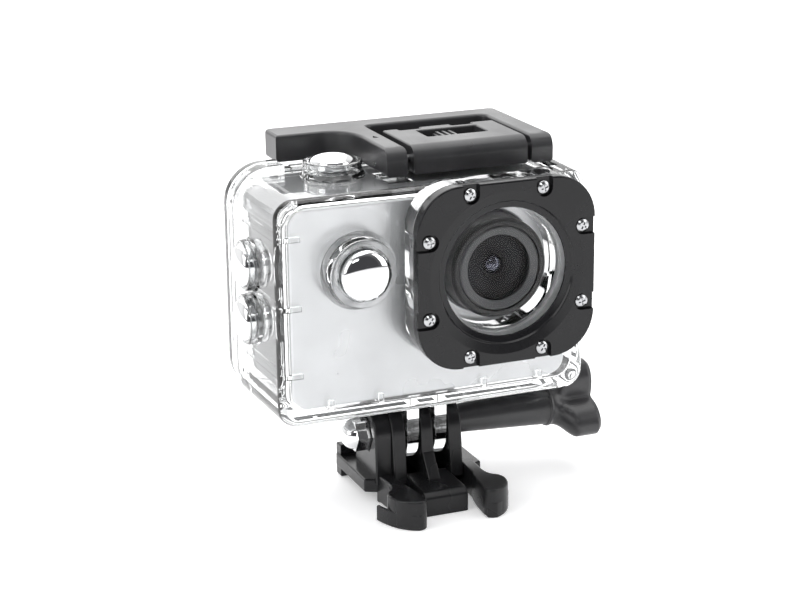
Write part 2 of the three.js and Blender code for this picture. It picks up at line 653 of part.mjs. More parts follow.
function buckleBase() {
  const { halfWidth, rear, top, railBottom, tongue, front } = SLED;
  const rails = outline([
    [-halfWidth, -4], [-9.3, -6], [9.3, -6], [halfWidth, -4],
    [halfWidth, rear - 0.4], [-halfWidth, rear - 0.4],
  ]);
  const roll = 1.2;
  const tongueSide = new THREE.Shape();
  tongueSide.moveTo(-5, 0);
  tongueSide.lineTo(-5, top + 0.4);
  tongueSide.lineTo(front + roll, top);
  tongueSide.absarc(front + roll, top - roll, roll, Math.PI / 2, Math.PI);
  tongueSide.lineTo(front, 0);
  const rib = outline([[-10.5, top - 1], [-10.5, top + 0.3], [-6.2, 11], [0, 11], [0, top - 1]]);
  const { centre, thick, radius } = PRONG;
  const half = thick / 2;
  const mid = 1.35;
  const rooted = [-1, 1].map((side) => side * LEG.hingeX);
  const body = join(
    alongZ(rails, railBottom, top),
    block(-SLED.body, SLED.body, -6, rear - 0.4, 0, top),
    alongX(tongueSide, -tongue, tongue, { segments: 5 }),
    block(-halfWidth + 0.4, halfWidth - 0.4, 10.8, rear, 0, 7.2),
    prong(-centre - half, -centre + half, radius, 7.4),
    prong(-mid, mid, radius, 7.4),
    prong(centre - half, centre + half, radius, 7.4),
    prong(PRONG.bossEnd, -centre - half + 0.1, PRONG.bossRadius, 6),
    alongX(rib, -mid, mid),
    block(-9, -7.5, -3.2, 2.2, top - 1, LEG.top),
    block(7.5, 9, -3.2, 2.2, top - 1, LEG.top),
  );
  const nutPocket = outline([0, 1, 2, 3, 4, 5].map((i) => {
    const angle = (i + 0.5) * (Math.PI / 3);
    return [4.05 * Math.cos(angle), SCREW_AXIS_Z + 4.05 * Math.sin(angle)];
  }));
  return cut(
    body,
    rod(BOLT_HOLE, "x", onScrewAxis, -12, 12, 20),
    alongX(nutPocket, -12, -9.3),
    rooted.map((x) => rod(LEG.root + GAP, "z", [x, LEG.hingeY, 0], -1, 8, 20)),
    [-1, 1].map((side) => block(side * 9.4 - 1.7, side * 9.4 + 1.7, -8, LEG.hingeY, -1, 8)),
    block(-3.3, 2.9, front - 1, -12, -1, 2.3),
  );
}

// one spring leg, drawn on the left; its thumb pad is at the front
function buckleLeg(side) {
  const arm = new THREE.Shape();
  arm.moveTo(-8.1, -5.4);
  arm.lineTo(-7.7, -11.5);
  arm.quadraticCurveTo(-6.5, -15.5, -6.3, -20.6);
  arm.quadraticCurveTo(-6.5, -22.4, -8.2, -22.3);
  arm.quadraticCurveTo(-12.6, -21.4, -12.9, -16.6);
  arm.quadraticCurveTo(-12.6, -14.6, -11.4, -14);
  arm.quadraticCurveTo(-10.4, -13, -10.4, -10.4);
  arm.lineTo(-10.7, -5.4);
  const fin = new THREE.Shape();
  fin.moveTo(-6.8, -20);
  fin.lineTo(-6.6, -21.6);
  fin.quadraticCurveTo(-7.2, -22.6, -8.6, -22.5);
  fin.quadraticCurveTo(-12.9, -20.6, -14.4, -14);
  fin.lineTo(-13.7, -13.7);
  fin.quadraticCurveTo(-13.2, -17, -11, -19);
  const left = join(
    alongZ(arm, 0.2, LEG.top, { segments: 6 }),
    alongZ(fin, 0, LEG.fin, { segments: 6 }),
    rod(LEG.root, "z", [-LEG.hingeX, LEG.hingeY, 0], 0.2, LEG.top, 18),
  );
  return side < 0 ? left : left.mirror([1, 0, 0]);
}

// ---------------------------------------------------------------- everything in place
add("front_shell", clear(), frontShell());
add("back_door", clear(), backDoor());
add("door_seal", rubber(), doorSeal());
add("door_hinge_pin", steel(), rod(HINGE.pin, "x", [0, HINGE.y, HINGE.z], -16, 16, 12));
add("lens_frame", black(), lensFrame());
add("lens_window", clear(), rod(WINDOW.radius, "y", onLensAxis, WINDOW.front, WINDOW.rear, 48));
add("window_seal", rubber(), ring(12.9, 15, "y", onLensAxis, -15.7, -14.7, 40));
frameScrewPlaces().forEach(frameScrew);
frontButton();
topButton();
SIDES.forEach(sideButton);
add("latch_lever", black(), latchLever());
add("lock_plate", black(), lockPlate());
add("lock_slider", black(), lockSlider());
add("latch_pin", steel(), rod(0.8, "x", [0, LATCH.pivotY, LATCH.pivotZ], LEVER.earLeft + 1.3, 28, 12));
add("camera_case", silver(), cameraCase());
add("camera_front_plate", silver(), cameraFrontPlate());
add("camera_back_cover", dark(), cameraBack());
cameraLens();
cameraButtons();
cameraInsides();
add("screw_bolt", steel(), rod(BOLT, "x", onScrewAxis, -13.6, 33.2, 20));
add("thumb_knob", black(), thumbKnob());
add("acorn_nut", chrome(), acornNut());
add("buckle_base", black(), buckleBase());
add("buckle_leg_left", black(), buckleLeg(-1));
add("buckle_leg_right", black(), buckleLeg(1));

export default camera;
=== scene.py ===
"""Looks of an action camera in its clear housing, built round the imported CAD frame."""
import math

import bmesh
import bpy
from mathutils import Matrix, Vector


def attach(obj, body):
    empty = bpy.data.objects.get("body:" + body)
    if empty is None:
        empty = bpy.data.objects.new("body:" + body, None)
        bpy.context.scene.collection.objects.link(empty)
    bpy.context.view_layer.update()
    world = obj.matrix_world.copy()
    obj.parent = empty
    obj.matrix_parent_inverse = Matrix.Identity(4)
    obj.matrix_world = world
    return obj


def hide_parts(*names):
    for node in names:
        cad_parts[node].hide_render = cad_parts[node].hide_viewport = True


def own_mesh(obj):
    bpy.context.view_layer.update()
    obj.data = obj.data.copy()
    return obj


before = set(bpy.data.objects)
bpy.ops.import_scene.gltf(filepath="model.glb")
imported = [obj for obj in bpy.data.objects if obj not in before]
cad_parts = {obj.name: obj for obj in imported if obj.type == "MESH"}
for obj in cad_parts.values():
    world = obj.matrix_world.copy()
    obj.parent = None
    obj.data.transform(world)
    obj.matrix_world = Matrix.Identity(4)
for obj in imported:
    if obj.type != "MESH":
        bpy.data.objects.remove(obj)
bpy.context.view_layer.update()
MM = 0.001


# ---------------------------------------------------------------- camera, light, floor
def add_camera():
    azimuth, elevation, roll = math.radians(-22), math.radians(17), math.radians(-0.62)
    target = Vector((-10.82, -19.0, 47.40)) * MM
    back = Vector(
        (
            math.sin(azimuth) * math.cos(elevation),
            -math.cos(azimuth) * math.cos(elevation),
            math.sin(elevation),
        )
    )
    right = (-back).cross(Vector((0, 0, 1))).normalized()
    up = right.cross(-back)
    x = math.cos(roll) * right + math.sin(roll) * up
    y = -math.sin(roll) * right + math.cos(roll) * up
    data = bpy.data.cameras.new("camera")
    data.lens, data.sensor_width, data.clip_start = 91.63, 36, 0.01
    cam = bpy.data.objects.new("camera", data)
    cam.matrix_world = Matrix.Translation(target + back * 392.95 * MM) @ Matrix((x, y, back)).transposed().to_4x4()
    bpy.context.collection.objects.link(cam)
    bpy.context.scene.camera = cam


def area_light(name, place, target, size, power, size_y=None):
    data = bpy.data.lights.new(name, "AREA")
    data.shape = "RECTANGLE"
    data.size, data.size_y, data.energy = size, size_y or size, power
    lamp = bpy.data.objects.new(name, data)
    lamp.location = place
    lamp.rotation_euler = (Vector(target) - Vector(place)).to_track_quat("-Z", "Y").to_euler()
    bpy.context.collection.objects.link(lamp)


def add_studio():
    middle = (0, 0, 0.04)
    area_light("top_box", (0.05, 0.05, 0.9), middle, 0.9, 5.5)
    area_light("left_box", (-0.75, -0.25, 0.45), middle, 0.5, 2.6, 0.7)
    area_light("right_box", (0.7, -0.45, 0.4), middle, 0.4, 2.2, 0.7)
    area_light("front_strip", (-0.28, -0.85, 0.62), middle, 0.35, 1.1, 0.15)
    area_light("rear_box", (0, 0.9, 0.75), (0, 0.3, 0), 1.3, 7)
    world = bpy.data.worlds.new("studio")
    bpy.context.scene.world = world
    world.use_nodes = True
    tree = world.node_tree
    background = tree.nodes["Background"]
    coords = tree.nodes.new("ShaderNodeTexCoord")
    split = tree.nodes.new("ShaderNodeSeparateXYZ")
    tree.links.new(coords.outputs["Generated"], split.inputs["Vector"])
    ramp = tree.nodes.new("ShaderNodeValToRGB")  # dim towards the viewer, bright backdrop behind
    ramp.color_ramp.elements[0].position, ramp.color_ramp.elements[1].position = 0.1, 0.75
    ramp.color_ramp.elements[0].color = (0.06, 0.06, 0.064, 1)
    ramp.color_ramp.elements[1].color = (1, 1, 1, 1)
    shift = tree.nodes.new("ShaderNodeMapRange")
    shift.inputs["From Min"].default_value, shift.inputs["From Max"].default_value = -1, 1
    tree.links.new(split.outputs["Y"], shift.inputs["Value"])
    tree.links.new(shift.outputs["Result"], ramp.inputs["Fac"])
    tree.links.new(ramp.outputs["Color"], background.inputs["Color"])
    background.inputs["Strength"].default_value = 1.05
    bpy.context.scene.view_settings.view_transform = "Standard"


def add_floor():
    mesh = bpy.data.meshes.new("floor")
    s = 3.0
    mesh.from_pydata([(-s, -s, 0), (s, -s, 0), (s, s, 0), (-s, s, 0)], [], [(0, 1, 2, 3)])
    floor = bpy.data.objects.new("floor", mesh)
    bpy.context.collection.objects.link(floor)
    mesh.materials.append(plastic("floor_paper", (0.92, 0.92, 0.925), 0.85, grain=900, depth=0.01, shift=0.004))
    paper = mesh.materials[0].node_tree.nodes["Principled BSDF"]
    paper.inputs["Emission Color"].default_value = (1, 1, 1, 1)
    paper.inputs["Emission Strength"].default_value = 0.3


# ---------------------------------------------------------------- materials
def new_material(name):
    material = bpy.data.materials.new(name)
    material.use_nodes = True
    tree = material.node_tree
    return material, tree, tree.nodes["Principled BSDF"]


def noise(tree, scale, detail=2.0, stretch=(1, 1, 1)):
    """Object-space noise; scale counts features per metre."""
    coords = tree.nodes.new("ShaderNodeTexCoord")
    mapping = tree.nodes.new("ShaderNodeMapping")
    mapping.inputs["Scale"].default_value = stretch
    texture = tree.nodes.new("ShaderNodeTexNoise")
    texture.inputs["Scale"].default_value = scale
    texture.inputs["Detail"].default_value = detail
    tree.links.new(coords.outputs["Object"], mapping.inputs["Vector"])
    tree.links.new(mapping.outputs["Vector"], texture.inputs["Vector"])
    return texture.outputs["Fac"]


def spread(tree, source, low, high):
    ranged = tree.nodes.new("ShaderNodeMapRange")
    ranged.inputs["From Min"].default_value = 0.3
    ranged.inputs["From Max"].default_value = 0.7
    ranged.inputs["To Min"].default_value = low
    ranged.inputs["To Max"].default_value = high
    tree.links.new(source, ranged.inputs["Value"])
    return ranged.outputs["Result"]


def tint(tree, source, dark, light):
    ramp = tree.nodes.new("ShaderNodeValToRGB")
    ramp.color_ramp.elements[0].position, ramp.color_ramp.elements[1].position = 0.35, 0.65
    ramp.color_ramp.elements[0].color = (*dark, 1)
    ramp.color_ramp.elements[1].color = (*light, 1)
    tree.links.new(source, ramp.inputs["Fac"])
    return ramp.outputs["Color"]


def bump(tree, shader, source, depth, distance=0.00005):
    node = tree.nodes.new("ShaderNodeBump")
    node.inputs["Strength"].default_value = depth
    node.inputs["Distance"].default_value = distance
    tree.links.new(source, node.inputs["Height"])
    tree.links.new(node.outputs["Normal"], shader.inputs["Normal"])


def plastic(name, color, roughness, grain=6000, depth=0.15, vary=0.06, coat=0.0, metal=0.0, shift=0.12):
    """Moulded or painted surface: fine grain, slow change of gloss and tone."""
    material, tree, shader = new_material(name)
    slow = noise(tree, 60, 3)
    tree.links.new(spread(tree, slow, roughness - vary, roughness + vary), shader.inputs["Roughness"])
    dark = [c * (1 - shift) for c in color]
    light = [min(1.0, c * (1 + shift)) for c in color]
    tree.links.new(tint(tree, noise(tree, 180, 4), dark, light), shader.inputs["Base Color"])
    bump(tree, shader, noise(tree, grain, 2), depth)
    shader.inputs["Metallic"].default_value = metal
    shader.inputs["Coat Weight"].default_value = coat
    shader.inputs["Coat Roughness"].default_value = 0.08
    return material


def clear(name, color, roughness, ior=1.58, vary=0.01, depth=0.03):
    """Clear moulded plastic: faint flow marks and a little haze."""
    material, tree, shader = new_material(name)
    flow = noise(tree, 45, 2, (1, 1, 0.35))
    tree.links.new(spread(tree, flow, roughness, roughness + vary), shader.inputs["Roughness"])
    tree.links.new(tint(tree, flow, [c * 0.995 for c in color], color), shader.inputs["Base Color"])
    bump(tree, shader, noise(tree, 120, 1), depth)
    shader.inputs["Transmission Weight"].default_value = 1.0
    shader.inputs["IOR"].default_value = ior
    return material


def metal(name, color, roughness, vary=0.03, grain=9000, depth=0.05, stretch=(1, 1, 1)):
    material, tree, shader = new_material(name)
    fine = noise(tree, grain, 2, stretch)
    tree.links.new(spread(tree, noise(tree, 120, 3), roughness, roughness + vary), shader.inputs["Roughness"])
    tree.links.new(tint(tree, noise(tree, 200, 2), [c * 0.94 for c in color], color), shader.inputs["Base Color"])
    bump(tree, shader, fine, depth, 0.00001)
    shader.inputs["Metallic"].default_value = 1.0
    return material


MATERIALS = {
    "clear": clear("clear_polycarbonate", (0.985, 0.99, 0.99), 0.01),
    "window": clear("window_glass", (0.99, 0.99, 0.99), 0.0, ior=1.12, vary=0.004, depth=0.0),
    "seal": plastic("silicone_seal", (0.62, 0.63, 0.64), 0.45, depth=0.05),
    "black": plastic("black_plastic", (0.032, 0.032, 0.034), 0.33, depth=0.1),
    "gloss_black": plastic("gloss_black_plastic", (0.008, 0.008, 0.009), 0.16, depth=0.03, vary=0.03),
    "silver": plastic("silver_paint", (0.84, 0.85, 0.865), 0.3, grain=9000, depth=0.12, metal=0.35, shift=0.03),
    "case": plastic("camera_case_plastic", (0.4, 0.405, 0.415), 0.4, grain=5000, depth=0.2, shift=0.02),
    "buckle": plastic("buckle_plastic", (0.012, 0.012, 0.013), 0.26, depth=0.08),
    "element": plastic("coated_lens", (0.2, 0.2, 0.24), 0.08, depth=0.0, vary=0.02, coat=1.0, metal=0.7),
    "lens": plastic("lens_black", (0.008, 0.008, 0.009), 0.4, depth=0.1),
    "lens_gray": plastic("lens_ring_gray", (0.07, 0.072, 0.075), 0.35, depth=0.1),
    "dark_glass": plastic("coated_glass", (0.004, 0.004, 0.006), 0.04, depth=0.0, vary=0.02, coat=1.0),
    "display": plastic("display_panel", (0.006, 0.006, 0.008), 0.12, depth=0.0, vary=0.02),
    "cover": clear("lens_cover_glass", (0.6, 0.61, 0.64), 0.0, ior=1.12, vary=0.004, depth=0.0),
    "chrome": metal("chrome_plate", (0.86, 0.865, 0.87), 0.04),
    "steel": metal("bright_steel", (0.46, 0.465, 0.475), 0.2, stretch=(1, 6, 1)),
    "board": plastic("circuit_green", (0.02, 0.09, 0.045), 0.4),
    "cell": plastic("battery_wrap", (0.05, 0.055, 0.065), 0.45),
}
for key in ("gloss_black", "buckle", "display"):
    MATERIALS[key].node_tree.nodes["Principled BSDF"].inputs["Specular IOR Level"].default_value = 0.3
FINISH = {
    "clear": ["front_shell", "back_door"],
    "window": ["lens_window"],
    "seal": ["door_seal", "window_seal"],
    "black": ["latch_lever", "lock_plate", "lock_slider", "thumb_knob", "buckle_base", "buckle_leg_left",
              "buckle_leg_right"],
    "gloss_black": ["lens_frame"],
    "silver": ["camera_front_plate", "camera_power_button", "camera_shutter_button", "camera_upper_button",
               "camera_lower_button"],
    "case": ["camera_case", "camera_back_cover", "battery_door"],
    "lens": ["lens_barrel", "lens_cell", "image_sensor"],
    "lens_gray": ["lens_bezel"],
    "dark_glass": ["lens_element", "camera_screen", "lens_cover_glass"],
    "chrome": ["front_button", "top_button", "side_button_upper", "side_button_lower", "acorn_nut"],
    "steel": ["door_hinge_pin", "latch_pin", "screw_bolt", "front_button_spring", "top_button_spring",
              "side_button_upper_spring", "side_button_lower_spring"]
    + [f"frame_screw_{i}" for i in range(1, 9)],
    "board": ["circuit_board"],
    "cell": ["battery"],
}
def finish_node(name, material):
    """Puts a material on every slot of a CAD node."""
    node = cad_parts[name]
    if node.material_slots:
        for slot in node.material_slots:
            slot.material = material


def finish_cad_nodes():
    for key, names in FINISH.items():
        for name in names:
            finish_node(name, MATERIALS[key])


# ---------------------------------------------------------------- geometry in millimetres
def arc(cx, cy, r, start, stop, steps=10):
    return [
        (cx + r * math.cos(math.radians(start + (stop - start) * i / steps)),
         cy + r * math.sin(math.radians(start + (stop - start) * i / steps)))
        for i in range(steps + 1)
    ]


def round_rect(x0, y0, x1, y1, r, steps=10):
    """Counter-clockwise outline; r is one radius or four: lower left, lower right, upper right, upper left."""
    bl, br, tr, tl = r if isinstance(r, (list, tuple)) else (r, r, r, r)
    return (
        arc(x0 + bl, y0 + bl, bl, 180, 270, steps)
        + arc(x1 - br, y0 + br, br, 270, 360, steps)
        + arc(x1 - tr, y1 - tr, tr, 0, 90, steps)
        + arc(x0 + tl, y1 - tl, tl, 90, 180, steps)
    )


def circle(cx, cy, r, steps=64):
    return arc(cx, cy, r, 0, 360 * (steps - 1) / steps, steps - 1)


def bezier(a, b, c, d, steps=12):
    points = []
    for i in range(1, steps + 1):
        t = i / steps
        k = ((1 - t) ** 3, 3 * t * (1 - t) ** 2, 3 * t * t * (1 - t), t**3)
        points.append(tuple(sum(w * p[j] for w, p in zip(k, (a, b, c, d))) for j in (0, 1)))
    return points


def soften(points, closed=True, steps=5):
    """Rounds the corners given as (a, b, radius); plain (a, b) points stay sharp."""
    out = []
    count = len(points)
    for i, point in enumerate(points):
        if len(point) == 2 or (not closed and i in (0, count - 1)):
            out.append(point[:2])
            continue
        here = Vector(point[:2])
        before = (Vector(points[i - 1][:2]) - here)
        after = (Vector(points[(i + 1) % count][:2]) - here)
        angle = before.angle(after)
        reach = min(point[2] / math.tan(angle / 2), before.length * 0.49, after.length * 0.49)
        a, b = here + before.normalized() * reach, here + after.normalized() * reach
        for k in range(steps + 1):
            t = k / steps
            out.append(tuple((1 - t) ** 2 * a + 2 * t * (1 - t) * here + t * t * b))
    return out


def signed_area(points):
    return sum(a[0] * b[1] - b[0] * a[1] for a, b in zip(points, points[1:] + points[:1])) / 2


PLANES = {
    "xy": Matrix(((1, 0, 0), (0, 1, 0), (0, 0, 1))),
    "xz": Matrix(((1, 0, 0), (0, 0, -1), (0, 1, 0))),
    "yz": Matrix(((0, 0, 1), (1, 0, 0), (0, 1, 0))),
}


def to_object(name, mesh):
    obj = bpy.data.objects.new(name, mesh)
    bpy.context.collection.objects.link(obj)
    return obj


def clean(mesh, distance=0.0008):
    work = bmesh.new()
    work.from_mesh(mesh)
    bmesh.ops.remove_doubles(work, verts=work.verts, dist=distance)
    bmesh.ops.dissolve_degenerate(work, edges=work.edges, dist=distance)
    bmesh.ops.recalc_face_normals(work, faces=work.faces)
    work.to_mesh(mesh)
    work.free()


def prism(name, outlines, plane, low, high, fillet=0.0, steps=3):
    """A plate with rounded edges: the first outline is its edge and the others are holes."""
    curve = bpy.data.curves.new(name, "CURVE")
    curve.dimensions, curve.fill_mode = "2D", "BOTH"
    curve.extrude = (high - low) / 2 - fillet
    curve.bevel_depth, curve.bevel_resolution, curve.offset = fillet, steps, -fillet
    for i, outline in enumerate(outlines):
        points = list(outline)
        if (signed_area(points) > 0) != (i == 0):
            points.reverse()
        spline = curve.splines.new("POLY")
        spline.points.add(len(points) - 1)
        for target, (a, b) in zip(spline.points, points):
            target.co = (a, b, 0, 1)
        spline.use_cyclic_u = True
    holder = to_object(name, curve)
    bpy.context.view_layer.update()
    mesh = bpy.data.meshes.new_from_object(holder.evaluated_get(bpy.context.evaluated_depsgraph_get()))
    bpy.data.objects.remove(holder)
    mesh.name = name
    middle = (low + high) / 2
    turn = PLANES[plane].to_4x4()
    mesh.transform(turn @ Matrix.Translation((0, 0, -middle if plane == "xz" else middle)))
    clean(mesh)
    return to_object(name, mesh)


def lathe(name, profile, axis, centre, segments=96):
    """Turns (radius, height) points about an axis through centre; closed when it leaves the axis."""
    work = bmesh.new()
    rings = []
    for r, h in profile:
        if r < 1e-6:
            rings.append([work.verts.new((0, 0, h))])
        else:
            rings.append([
                work.verts.new((
                    r * math.cos(2 * math.pi * k / segments), r * math.sin(2 * math.pi * k / segments), h))
                for k in range(segments)
            ])
    pairs = list(zip(rings, rings[1:]))
    if profile[0][0] > 1e-6:
        pairs.append((rings[-1], rings[0]))
    for a, b in pairs:
        for k in range(segments):
            n = (k + 1) % segments
            corners = [a[k % len(a)], a[n % len(a)], b[n % len(b)], b[k % len(b)]]
            unique = list(dict.fromkeys(corners))
            if len(unique) > 2:
                work.faces.new(unique)
    bmesh.ops.recalc_face_normals(work, faces=work.faces)
    mesh = bpy.data.meshes.new(name)
    work.to_mesh(mesh)
    work.free()
    turn = {"z": Matrix.Identity(4), "x": Matrix.Rotation(math.pi / 2, 4, "Y"),
            "y": Matrix.Rotation(-math.pi / 2, 4, "X")}[axis]
    mesh.transform(Matrix.Translation(centre) @ turn)
    return to_object(name, mesh)


def tube(name, points, radius, cyclic=False, sides=4):
    curve = bpy.data.curves.new(name, "CURVE")
    curve.dimensions, curve.bevel_depth, curve.bevel_resolution = "3D", radius, sides
    curve.use_fill_caps = True
    spline = curve.splines.new("POLY")
    spline.points.add(len(points) - 1)
    for target, point in zip(spline.points, points):
        target.co = (*point, 1)
    spline.use_cyclic_u = cyclic
    holder = to_object(name, curve)
    bpy.context.view_layer.update()
    mesh = bpy.data.meshes.new_from_object(holder.evaluated_get(bpy.context.evaluated_depsgraph_get()))
    bpy.data.objects.remove(holder)
    clean(mesh)
    return to_object(name, mesh)


def box(name, x0, x1, y0, y1, z0, z1, fillet=0.0):
    return prism(name, [[(x0, y0), (x1, y0), (x1, y1), (x0, y1)]], "xy", z0, z1, fillet)


def fuse(name, parts):
    """Several closed parts as one mesh, each keeping its own surface."""
    work = bmesh.new()
    for part in parts:
        part.data.transform(part.matrix_world)
        work.from_mesh(part.data)
        bpy.data.objects.remove(part)
    mesh = bpy.data.meshes.new(name)
    work.to_mesh(mesh)
    work.free()
    return to_object(name, mesh)


def carve(target, tools, operation="DIFFERENCE"):
    """Exact boolean of target with each tool, applied; the tools are used up."""
    for tool in tools:
        step = target.modifiers.new("carve", "BOOLEAN")
        step.operation, step.solver, step.object = operation, "EXACT", tool
        bpy.context.view_layer.update()
        mesh = bpy.data.meshes.new_from_object(target.evaluated_get(bpy.context.evaluated_depsgraph_get()))
        target.modifiers.remove(step)
        old, target.data = target.data, mesh
        bpy.data.meshes.remove(old)
        bpy.data.objects.remove(tool)
    return target


def place(obj, name, material, body, replaced, slot, crease=32, weighted=True):
    """Scales a millimetre piece to metres, smooths it and hands it to the frame."""
    mesh = obj.data
    mesh.name = obj.name = name
    mesh.transform(Matrix.Scale(MM, 4))
    mesh.materials.clear()
    mesh.materials.append(material)
    mesh.polygons.foreach_set("material_index", [0] * len(mesh.polygons))
    mesh.polygons.foreach_set("use_smooth", [True] * len(mesh.polygons))
    mesh.set_sharp_from_angle(angle=math.radians(crease))
    if weighted:
        even = obj.modifiers.new("even_normals", "WEIGHTED_NORMAL")
        even.keep_sharp, even.weight = True, 100
    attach(obj, body)
    if replaced:
        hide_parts(*([replaced] if isinstance(replaced, str) else replaced))
    return obj


# ---------------------------------------------------------------- the pieces
LENS_X, LENS_Z = 12.2, 50
SCREW_Z = 13.7
PIVOT_Y, PIVOT_Z, NOSE_RADIUS = -0.8, 70.65, 2.85  # the latch's pin and the round nose on it
LATCH_FOOT, LATCH_TOP = 67.8, 73.5
LENS_AXIS = (LENS_X, 0, LENS_Z)
SCREW_AXIS = (0, 0, SCREW_Z)
FRONT_BUTTON = (-16.4, 0, 52)
TOP_BUTTON = (-15, 6, 0)
SIDE_BUTTONS = {"upper": (0, 3, 51.5), "lower": (0, 3, 40.3)}
NOTCHES = [(-7.85, 16.45), (7.85, 16.45), (16.45, 7.85), (16.45, -7.85), (7.85, -16.45), (-7.85, -16.45),
           (-16.45, -7.85), (-16.45, 7.85)]


def frame_outline(inset=0.0):
    return round_rect(
        LENS_X - 19.1 + inset, LENS_Z - 18.6 + inset, LENS_X + 19.1 - inset, LENS_Z + 18.6 - inset, 9 - inset, 14
    )


def screw_pocket(dx, dz):
    """A U-shaped pocket round one screw, open at the frame's nearer edge."""
    x, z, r = LENS_X + dx, LENS_Z + dz, 1.75
    if abs(dz) > abs(dx):
        out = math.copysign(6, dz)
        start = 180 if dz > 0 else 0
        return arc(x, z, r, start, start + 180, 12) + [(x + math.copysign(r, dz), z + out),
                                                       (x - math.copysign(r, dz), z + out)]
    out = math.copysign(6, dx)
    start = 90 if dx > 0 else -90
    return arc(x, z, r, start, start + 180, 12) + [(x + out, z - math.copysign(r, dx)),
                                                   (x + out, z + math.copysign(r, dx))]


def build_lens_frame():
    plate = prism("frame_plate", [frame_outline(), circle(LENS_X, LENS_Z, 15.5, 96)], "xz", -19, -16.2, 0.35, 3)
    carve(plate, [lathe("dish_seat", [(0, -20), (17.2, -20), (17.2, -17.8), (0, -17.8)], "y", LENS_AXIS, 128)])
    carve(plate, [prism("pocket", [screw_pocket(dx, dz)], "xz", -20, -18.1) for dx, dz in NOTCHES])
    dish = lathe("frame_dish", soften([
        (17.3, -19.0), (16.6, -18.985, 0.2), (14.7, -18.62, 0.25), (14.35, -18.2, 0.2), (13.1, -17.9, 0.2),
        (13.1, -17.6), (17.3, -17.6)]), "y", LENS_AXIS, 128)
    carve(dish, [prism("pocket", [screw_pocket(dx, dz)], "xz", -20, -18.1) for dx, dz in NOTCHES])
    place(fuse("lens_frame", [plate, dish]), "lens_frame_shell", MATERIALS["gloss_black"], "housing",
          "lens_frame", "black_plastic")


def build_frame_screws():
    for i, (dx, dz) in enumerate(NOTCHES):
        x, z = LENS_X + dx, LENS_Z + dz
        head = lathe("head", soften([(0, -18.95), (0.75, -18.92, 0.5), (1.4, -18.55, 0.25), (1.4, -18.1), (0.8, -18.1),
                                     (0.8, -12.6), (0, -12.1)], closed=False), "y", (x, 0, z), 32)
        turn = Matrix.Translation((x, 0, z)) @ Matrix.Rotation(math.radians(25 + 47 * i), 4, "Y")
        tools = []
        for w, h in ((0.75, 0.17), (0.17, 0.75)):
            tool = box("cross", -w, w, -20, -18.62, -h, h)
            tool.data.transform(turn)
            tools.append(tool)
        place(carve(head, tools), f"frame_screw_head_{i + 1}", MATERIALS["steel"], "housing",
              f"frame_screw_{i + 1}", "steel")


def coil(centre, axis, radius, wire, low, high, turns):
    points = []
    for k in range(int(turns * 24) + 1):
        t = k / (turns * 24)
        a = 2 * math.pi * turns * t
        u, v, h = radius * math.cos(a), radius * math.sin(a), low + wire + (high - low - 2 * wire) * t
        x, y, z = {"x": (h, u, v), "y": (u, h, v), "z": (u, v, h)}[axis]
        points.append((centre[0] + x, centre[1] + y, centre[2] + z))
    return tube("coil", points, wire, sides=3)


def cap_profile(radius, skirt, hub_end, stem_end, crown, sign):
    """Crowned cap over a hub and a stem; heights run inwards from the crown."""
    dome = [(radius * math.sin(math.radians(a)), 1.75 * (1 - math.cos(math.radians(a)))) for a in range(0, 80, 8)]
    rest = [(radius, 1.75, 0.35), (radius, skirt, 0.12), (2, skirt), (2, hub_end), (1.2, hub_end), (1.2, stem_end),
            (0, stem_end)]
    return [(r, crown + sign * h) for r, h in soften(dome + rest, closed=False)]


def build_buttons():
    place(lathe("cap", cap_profile(5.2, 3.6, 4.2, 8.2, -17.7, 1), "y", FRONT_BUTTON, 96), "front_cap_dome",
          MATERIALS["chrome"], "front_cap", "front_button", "chrome")
    place(lathe("cap", cap_profile(4.8, 2.8, 3.1, 5.4, 71.7, -1), "z", TOP_BUTTON, 96), "top_cap_dome",
          MATERIALS["chrome"], "top_cap", "top_button", "chrome")
    # name, button, centre, axis, radius, wire, low, high, seat, share of the length left when pressed
    springs = [
        ("front", "front_button", FRONT_BUTTON, "y", 3.1, 0.25, -13.8, -11.7, -11.7, 0.3),
        ("top", "top_button", TOP_BUTTON, "z", 3, 0.22, 66.7, 68.7, 66.7, 0.27),
    ] + [
        (f"side_{side}", f"side_button_{side}", centre, "x", 2.9, 0.22, -33.75, -32.2, -32.2, 0.05)
        for side, centre in SIDE_BUTTONS.items()
    ]
    for name, button, centre, axis, radius, wire, low, high, seat, keep in springs:
        spring = place(coil(centre, axis, radius, wire, low, high, 2.5), f"{name}_coil", MATERIALS["steel"],
                       "housing", f"{button}_spring", "spring_steel", weighted=False)
        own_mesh(spring)
    for side, centre in SIDE_BUTTONS.items():
        place(lathe("cap", cap_profile(4.3, 3.4, 3.5, 6.2, -37.3, 1), "x", centre, 96), f"side_cap_{side}_dome",
              MATERIALS["chrome"], f"{side}_cap", f"side_button_{side}", "chrome")


def lever_outline():
    left = [(-7, 9.2)] + bezier((-7, 9.2), (-7, 14), (-9, 17.6), (-13.5, 17.6))
    edge = [(-7, -6, 0), (-2.6, -6, 0), (-2.6, 20.0, 1.8), (24.6, 20.0, 1.8), (24.6, -6, 0), (29.3, -6, 0),
            (29.3, 25.6, 1.8), (-22.9, 25.6, 1.6), (-22.9, 17.6, 1.6)]
    return left[::-1] + soften(edge, closed=False)


def nose_side(low_x, high_x):
    """Side view shared by the lever and the lock plate: a quarter round nose over a square foot."""
    outline = [(30, 60), (30, 80), (PIVOT_Y, 80), (PIVOT_Y, LATCH_TOP)]
    outline += arc(PIVOT_Y, PIVOT_Z, NOSE_RADIUS, 90, 180, 14) + [(-3.65, 60)]
    return prism("nose_side", [outline], "yz", low_x, high_x)


